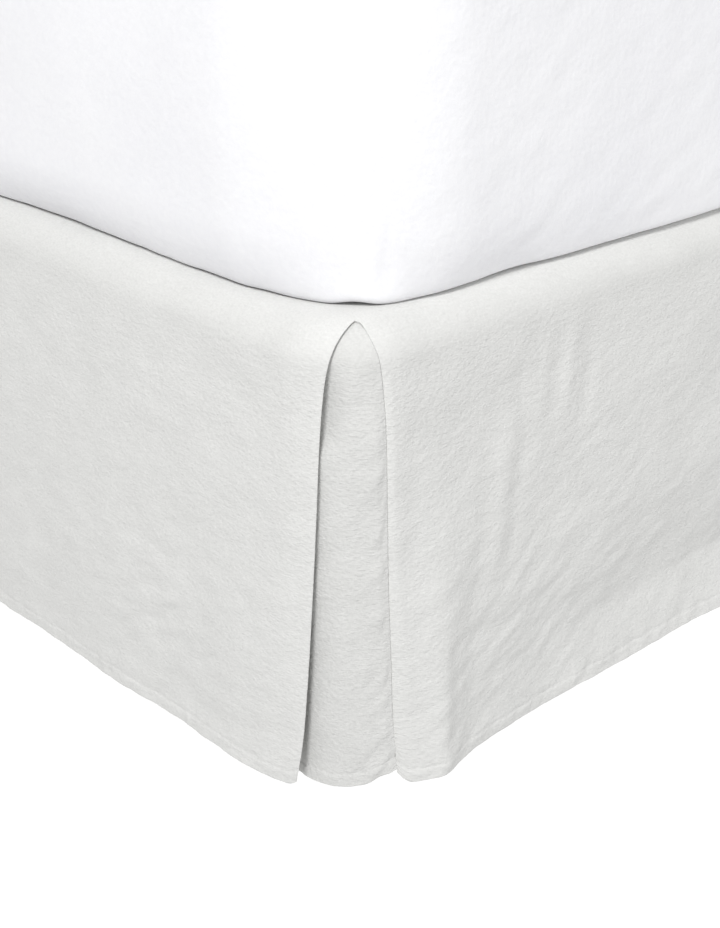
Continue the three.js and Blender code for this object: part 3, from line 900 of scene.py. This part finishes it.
def mattress_cover():
    half_x, half_y = HALF_WIDTH - MATTRESS_IN, HALF_LENGTH - MATTRESS_IN
    x_lines = stepped([(-half_x, 3), (12 - half_x, 10), (-half_x + 140, 45), (330, 7),
                       (half_x - 12, 3), (half_x, 1)])
    y_lines = stepped([(-half_y, 3), (12 - half_y, 7), (-half_y + 440, 50),
                       (half_y - 140, 11), (half_y - 12, 3), (half_y, 1)])
    z_lines = stepped([(MATTRESS_BOTTOM, 2.5), (MATTRESS_BOTTOM + 30, 6.5),
                       (MATTRESS_TOP - 28, 4), (MATTRESS_TOP, 1)])
    points, faces = block_grid(x_lines, y_lines, z_lines)
    points, normal, plan_out, inset = soft_block(
        points, half_x, half_y, MATTRESS_CORNER, LOW_EDGE, TOP_EDGE, MATTRESS_BOTTOM, MATTRESS_TOP
    )
    x, y, z = points.T
    along = round_the_bed(points, MATTRESS_CORNER)
    up = (z - MATTRESS_BOTTOM) / (MATTRESS_TOP - MATTRESS_BOTTOM)
    on_side = np.hypot(normal[:, 0], normal[:, 1])
    swell = SWELL * np.sin(np.clip(up, 0, 1) * math.pi) * on_side
    low, draw, raised = lower_edge(along, z, inset)
    hem = 0.7 * crinkle(along, z, 30, 60, 0, 51) * low * on_side
    crinkles = 0.7 * crinkle(along, z, 42, 15, -24, 52) + 0.35 * crinkle(along, z, 15, 8, 20, 53)
    crinkles = crinkles * (0.35 + 0.65 * smoothstep(along, 760, 860))
    slow = 1.4 * crinkle(along, z, 190, 120, 25, 54)
    fade = smoothstep(z, MATTRESS_BOTTOM + 2, MATTRESS_BOTTOM + 30)
    out = swell + hem + (crinkles + slow) * on_side * fade
    sewn = on_side * smoothstep(z, MATTRESS_BOTTOM + 4, MATTRESS_BOTTOM + 20)
    out = out + sewn * corner_seam(x, y, up, half_x, half_y)
    across, lengthways = 1 - (x / HALF_WIDTH) ** 2, 1 - (y / HALF_LENGTH) ** 2
    crown = CROWN * np.clip(across, 0, 1) * np.clip(lengthways, 0, 1)
    on_top = 2.0 * crinkle(x, y, 260, 170, 35, 55) + 1.0 * crinkle(x, y, 150, 110, -30, 56)
    lift = (crown + on_top + 0.8) * np.clip(normal[:, 2], 0, 1)
    points = points + normal * out[:, None] + plan_out * draw[:, None]
    points[:, 2] += lift
    height = np.maximum(points[:, 2], MATTRESS_BOTTOM)
    underside = normal[:, 2] < -0.999
    points[:, 2] = np.where(underside, MATTRESS_BOTTOM, height) + raised
    return block_mesh("mattress_cover", points, faces)


mattress = mattress_cover()

# %% [markdown]
# ## Base
# The base is an upholstered divan box. Hardly any of it shows, only under the hem and at the
# head end, but it gets its rounded edges, a slightly slack cover and a sewn line above its foot.

# %% Base
BASE_BOTTOM = 140.0
BASE_INSET, BASE_CORNER, BASE_EDGE = 9.0, 105.0, 34.0


def base_cover():
    half_x, half_y = HALF_WIDTH - BASE_INSET, HALF_LENGTH - BASE_INSET
    x_lines = stepped([(-half_x, 11), (-half_x + 110, 48), (half_x - 110, 11), (half_x, 1)])
    y_lines = stepped([(-half_y, 11), (-half_y + 110, 48), (half_y - 110, 11), (half_y, 1)])
    z_lines = stepped([(BASE_BOTTOM, 4), (BASE_BOTTOM + 40, 8), (BASE_TOP - 36, 4), (BASE_TOP, 1)])
    points, faces = block_grid(x_lines, y_lines, z_lines)
    points, normal, _, _ = soft_block(
        points, half_x, half_y, BASE_CORNER, BASE_EDGE, BASE_EDGE, BASE_BOTTOM, BASE_TOP
    )
    z = points[:, 2]
    along = round_the_bed(points, BASE_CORNER)
    on_side = np.hypot(normal[:, 0], normal[:, 1])
    middle = smoothstep(z, BASE_BOTTOM, BASE_BOTTOM + 60)
    middle = middle * (1 - smoothstep(z, BASE_TOP - 60, BASE_TOP - 30))
    slack = -0.8 + 0.8 * crinkle(along, z, 160, 80, 20, 61)
    sewn = -1.6 * bell((z - BASE_BOTTOM - 38) / 3.5)
    out = (slack * middle + sewn) * on_side
    points = points + normal * out[:, None]
    return block_mesh("base_cover", points, faces)


base = base_cover()

# %% [markdown]
# ## Materials
# One function turns a hex colour, as a paint chart or a picture gives it, into the linear
# numbers that Blender's shaders use. Another adds a node with its settings and links.

# %% Colours and nodes
def linear(hex_colour):
    parts = [int(hex_colour[i:i + 2], 16) / 255 for i in (1, 3, 5)]
    return [p / 12.92 if p <= 0.04045 else ((p + 0.055) / 1.055) ** 2.4 for p in parts] + [1.0]


def add(tree, kind, inputs=None, **settings):
    """Adds a node. inputs maps a socket's name or number to a value or to another socket."""
    made = tree.nodes.new(kind)
    for name, value in settings.items():
        setattr(made, name, value)
    for name, value in (inputs or {}).items():
        if isinstance(value, bpy.types.NodeSocket):
            tree.links.new(value, made.inputs[name])
        else:
            made.inputs[name].default_value = value
    return made


def new_material(name, roughness, **shader_values):
    """A material with its shader set up, and its tree to add nodes to."""
    material = bpy.data.materials.new(name)
    material.use_nodes = True
    tree = material.node_tree
    tree.nodes.clear()
    shader = add(tree, "ShaderNodeBsdfPrincipled", {"Roughness": roughness, "IOR": 1.5})
    for socket, value in shader_values.items():
        shader.inputs[socket.replace("_", " ")].default_value = value
    add(tree, "ShaderNodeOutputMaterial", {"Surface": shader.outputs["BSDF"]})
    return material, tree, shader


print("Mid grey in linear light:", [round(v, 3) for v in linear("#808080")[:3]])

# %% [markdown]
# ### Washed linen
# Plain-woven flax, washed soft. The yarns are uneven, so short thick places called slubs run
# along them. Real yarns are about 0.6 mm apart, finer than a pixel of the picture, so they are
# drawn 1.2 mm apart, as coarse as they need to be to show. Washing leaves a mottle of a few
# millimetres and soft lighter and darker clouds. Flax has a faint sheen and is otherwise matt.
# Most of this is colour. The bump is slight, because the crinkles are real geometry, and it is
# weaker near the top, where the cloth is pulled smooth.

# %% Washed linen
LINEN_LIGHT, LINEN_DARK = "#e0e0de", "#cacac8"
YARN = 1.2
SLUB_LENGTH = 2.8
CLOUD = 38.0
NOISES = [  # size along and down the cloth in mm, detail, and share of the shade
    (SLUB_LENGTH, YARN, 0.0, 0.3),  # weft
    (YARN, SLUB_LENGTH, 0.0, 0.24),  # warp
    (2.4, 1.8, 1.0, 0.42),  # slubs
    (4.8, 3.6, 1.0, 0.4),  # mottle
    (CLOUD, CLOUD * 0.7, 3.0, 0.5),  # clouds
]
# painted shade: the underlays are made this share of the shade range darker, for the recess behind the
# panels
RECESS_PAINTED_SHADE = -0.3
TAUT_RUN = 58.0  # down to here the cloth is pulled smooth over the shoulder
TAUT_FADE = 24.0
WEAVE_BUMP, MOTTLE_BUMP = 0.0003, 0.0008


def washed_linen(name, light, dark):
    material, tree, shader = new_material(name, 0.88, Sheen_Weight=0.12, Sheen_Roughness=0.5)
    cloth = add(tree, "ShaderNodeUVMap", uv_map="cloth").outputs["UV"]

    shade = 0.5 - 0.5 * sum(share for *_, share in NOISES)
    made = []
    for size_u, size_v, detail, share in NOISES:
        scale = (1000 / size_u, 1000 / size_v, 1.0)
        place = add(tree, "ShaderNodeMapping", {"Vector": cloth, "Scale": scale}).outputs[0]
        noise = add(tree, "ShaderNodeTexNoise", {"Vector": place, "Scale": 1.0, "Detail": detail})
        made.append(noise.outputs["Fac"])
        shade = add(tree, "ShaderNodeMath", {
            0: made[-1], 1: share, 2: shade,
        }, operation="MULTIPLY_ADD").outputs[0]
    uv = add(tree, "ShaderNodeSeparateXYZ", {"Vector": cloth}).outputs
    # painted shade: cloth whose UV lies far along the bolt, which is the underlays', is made darker for
    # the recess behind the panels
    in_painted_shade = add(tree, "ShaderNodeMath", {
        0: uv["X"], 1: PAINTED_SHADE_SHIFT / 2 * MM,
    }, operation="GREATER_THAN").outputs[0]
    shade = add(tree, "ShaderNodeMath", {
        0: in_painted_shade, 1: RECESS_PAINTED_SHADE, 2: shade,
    }, operation="MULTIPLY_ADD").outputs[0]
    colour = add(tree, "ShaderNodeMix", {
        "Factor": shade, 6: linear(dark), 7: linear(light),
    }, data_type="RGBA", clamp_factor=False)
    tree.links.new(colour.outputs[2], shader.inputs["Base Color"])
    hanging = add(tree, "ShaderNodeMapRange", {
        "Value": uv["Y"], "From Min": TAUT_RUN * MM, "From Max": (TAUT_RUN + TAUT_FADE) * MM,
        "To Min": 0.35, "To Max": 1.0,
    }, interpolation_type="SMOOTHSTEP").outputs[0]
    weave = add(tree, "ShaderNodeBump", {
        "Height": made[0], "Distance": WEAVE_BUMP, "Strength": hanging,
    })
    bump = add(tree, "ShaderNodeBump", {
        "Height": made[3], "Distance": MOTTLE_BUMP, "Strength": hanging, "Normal": weave.outputs[0],
    })
    tree.links.new(bump.outputs[0], shader.inputs["Normal"])
    return material


linen = washed_linen("washed_linen", LINEN_LIGHT, LINEN_DARK)
print("Linen yarns drawn every", YARN, "mm")

# %% [markdown]
# ### Cotton cover, deck cotton and base cloth
# The mattress cover and the deck are percale, a close plain weave with no visible yarn at this
# distance. What the eye gets is a clean white with a soft bloom, so their grain is drawn as a
# fine noise a few millimetres wide. The base is covered in a thicker cloth with a rougher grain.

# %% Cotton and base cloth
COVER_ROUGHNESS = 0.85
BROAD = 9.0  # cells to a metre of the broad light and dark


def woven_cover(name, light, dark, grain, bump_height):
    material, tree, shader = new_material(name, COVER_ROUGHNESS, Sheen_Weight=0.1, Sheen_Roughness=0.4)
    place = add(tree, "ShaderNodeTexCoord").outputs["Object"]
    fine = add(tree, "ShaderNodeTexNoise", {"Vector": place, "Scale": 1000 / grain, "Detail": 3.0})
    broad = add(tree, "ShaderNodeTexNoise", {"Vector": place, "Scale": BROAD, "Detail": 3.0})
    both = add(tree, "ShaderNodeMix", {
        "Factor": 0.5, "A": fine.outputs[0], "B": broad.outputs[0],
    }, data_type="FLOAT")
    shade = add(tree, "ShaderNodeMapRange", {"Value": both.outputs[0], "From Min": 0.3, "From Max": 0.7})
    colour = add(tree, "ShaderNodeMix", {
        "Factor": shade.outputs[0], 6: linear(dark), 7: linear(light),
    }, data_type="RGBA")
    tree.links.new(colour.outputs[2], shader.inputs["Base Color"])
    bump = add(tree, "ShaderNodeBump", {
        "Height": fine.outputs[0], "Distance": bump_height, "Strength": 0.5,
    })
    tree.links.new(bump.outputs[0], shader.inputs["Normal"])
    return material


cotton = woven_cover("white_percale_cotton", "#ededef", "#e7e7ea", 5.0, 0.0009)
deck_cotton = woven_cover("deck_cotton", "#ecebe6", "#e4e3de", 3.0, 0.0004)
base_cloth = woven_cover("base_upholstery", "#d2cfc7", "#c2bfb6", 2.4, 0.0009)
print("Covers made")

# %% [markdown]
# ### Beech
# The legs are turned beech with a thin satin lacquer. Beech is pale and pinkish with short dark
# flecks, and its grain runs up the leg. The lacquer is a faint coat over the wood.

# %% Beech
GRAIN = ((160, 160, 7), 6.0)  # noise cells to a metre, across and along the grain, and detail
FLECKS = ((900, 900, 130), 1.0)
WOOD_COLOURS = ((0.36, "#8f6c46"), (0.62, "#b8986e"))


def satin_beech():
    material, tree, shader = new_material("satin_beech", 0.45, Coat_Weight=0.15, Coat_Roughness=0.3)
    place = add(tree, "ShaderNodeTexCoord").outputs["Object"]
    noises = []
    for scale, detail in (GRAIN, FLECKS):
        spread = add(tree, "ShaderNodeMapping", {"Vector": place, "Scale": scale}).outputs[0]
        noise = add(tree, "ShaderNodeTexNoise", {"Vector": spread, "Scale": 1.0, "Detail": detail})
        noises.append(noise.outputs[0])
    both = add(tree, "ShaderNodeMix", {
        "Factor": 0.4, "A": noises[0], "B": noises[1],
    }, data_type="FLOAT")
    ramp = add(tree, "ShaderNodeValToRGB", {"Fac": both.outputs[0]})
    for stop, (position, hex_colour) in zip(ramp.color_ramp.elements, WOOD_COLOURS):
        stop.position = position
        stop.color = linear(hex_colour)
    tree.links.new(ramp.outputs[0], shader.inputs["Base Color"])
    bump = add(tree, "ShaderNodeBump", {"Height": both.outputs[0], "Distance": 0.0003, "Strength": 0.4})
    tree.links.new(bump.outputs[0], shader.inputs["Normal"])
    return material


beech = satin_beech()
LEGS = [f"leg_{row}_{column}" for row in ("foot", "head") for column in ("left", "middle", "right")]
for name in LEGS:
    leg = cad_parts[name]
    leg.data.materials.clear()
    leg.data.materials.append(beech)
print("Beech on", len(LEGS), "legs")

# %% [markdown]
# ## What each piece is
# Each piece rides on the bed, stands for the CAD node it replaces, and takes its material. The
# table also lists for each cloth a slot name, the size it was cut and whether it hangs or lies.

# %% Pieces
PIECES = [
    (linen_foot_panel, "skirt_panel_foot", linen, "linen", (1.575, 0.44), "hung"),
    (linen_right_panel, "skirt_panel_right", linen, "linen", (2.045, 0.44), "hung"),
    (linen_left_panel, "skirt_panel_left", linen, "linen", (2.045, 0.44), "hung"),
    (underlay_right, "pleat_back_right", linen, "linen", (0.222, 0.398), "hung"),
    (underlay_left, "pleat_back_left", linen, "linen", (0.222, 0.398), "hung"),
    (cotton_deck, "skirt_deck", deck_cotton, "deck_cotton", (1.413, 1.96), "laid"),
]


def settle(piece, node, material):
    piece.data.materials.clear()
    piece.data.materials.append(material)
    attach(piece, "root")
    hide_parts(node)


for piece, node, material, slot_name, flat, held in PIECES:
    settle(piece, node, material)
settle(mattress, "mattress", cotton)
settle(base, "bed_base", base_cloth)
print("Pieces:", len(PIECES) + 2)

# %% [markdown]
# ## Floor and light
# The picture is a product shot on white: a broad soft light from the upper left of the camera,
# a gentle fill from the right and white all round. Its backdrop is pure white, yet an evenly
# glowing room washes the folds out. So the floor and the world look nearly white to the camera
# and send the cloth less light than that, which the Light Path node tells apart.

# %% Floor
FLOOR_HALF = 14.0
FLOOR_GLOW, FLOOR_SEEN = 0.67, 0.97  # what the cloth gets, and what the camera sees
WORLD_GLOW, WORLD_SEEN = 0.39, 1.0

floor_mesh = bpy.data.meshes.new("floor")
square = [(-1, -1), (1, -1), (1, 1), (-1, 1)]
floor_corners = [(FLOOR_HALF * x, FLOOR_HALF * y, 0) for x, y in square]
floor_mesh.from_pydata(floor_corners, [], [(0, 1, 2, 3)])
floor = placed("floor", floor_mesh)
sweep, sweep_tree, sweep_shader = new_material(
    "white_sweep", 0.9, Base_Color=linear("#7f7f7f"), Emission_Color=(1, 1, 1, 1)
)
for_camera = add(sweep_tree, "ShaderNodeLightPath").outputs["Is Camera Ray"]
glow = add(sweep_tree, "ShaderNodeMapRange", {
    "Value": for_camera, "To Min": FLOOR_GLOW, "To Max": FLOOR_SEEN,
})
sweep_tree.links.new(glow.outputs[0], sweep_shader.inputs["Emission Strength"])
floor_mesh.materials.append(sweep)

# %% Lights
def soft_light(name, place, aim, size, watts):
    lamp = bpy.data.lights.new(name, "AREA")
    lamp.shape = "DISK"
    lamp.size = size
    lamp.energy = watts
    light = placed(name, lamp)
    light.location = place
    light.rotation_euler = (Vector(aim) - Vector(place)).to_track_quat("-Z", "Y").to_euler()


CORNER_AIM = (0.72, -0.95, 0.3)
KEY_WATTS, FILL_WATTS = 106, 33
soft_light("key", (1.82, -3.1, 3.05), CORNER_AIM, 1.0, KEY_WATTS)
soft_light("fill", (4.1, 0.6, 1.9), CORNER_AIM, 2.0, FILL_WATTS)
world = bpy.data.worlds.new("white_studio")
world.use_nodes = True
world_tree = world.node_tree
background = world_tree.nodes["Background"]
background.inputs["Color"].default_value = (1, 1, 1, 1)
seen = add(world_tree, "ShaderNodeLightPath").outputs["Is Camera Ray"]
brightness = add(world_tree, "ShaderNodeMapRange", {
    "Value": seen, "To Min": WORLD_GLOW, "To Max": WORLD_SEEN,
})
world_tree.links.new(brightness.outputs[0], background.inputs["Strength"])
bpy.context.scene.world = world
bpy.context.scene.view_settings.view_transform = "Standard"
bpy.context.scene.view_settings.look = "None"
print("Lights set")
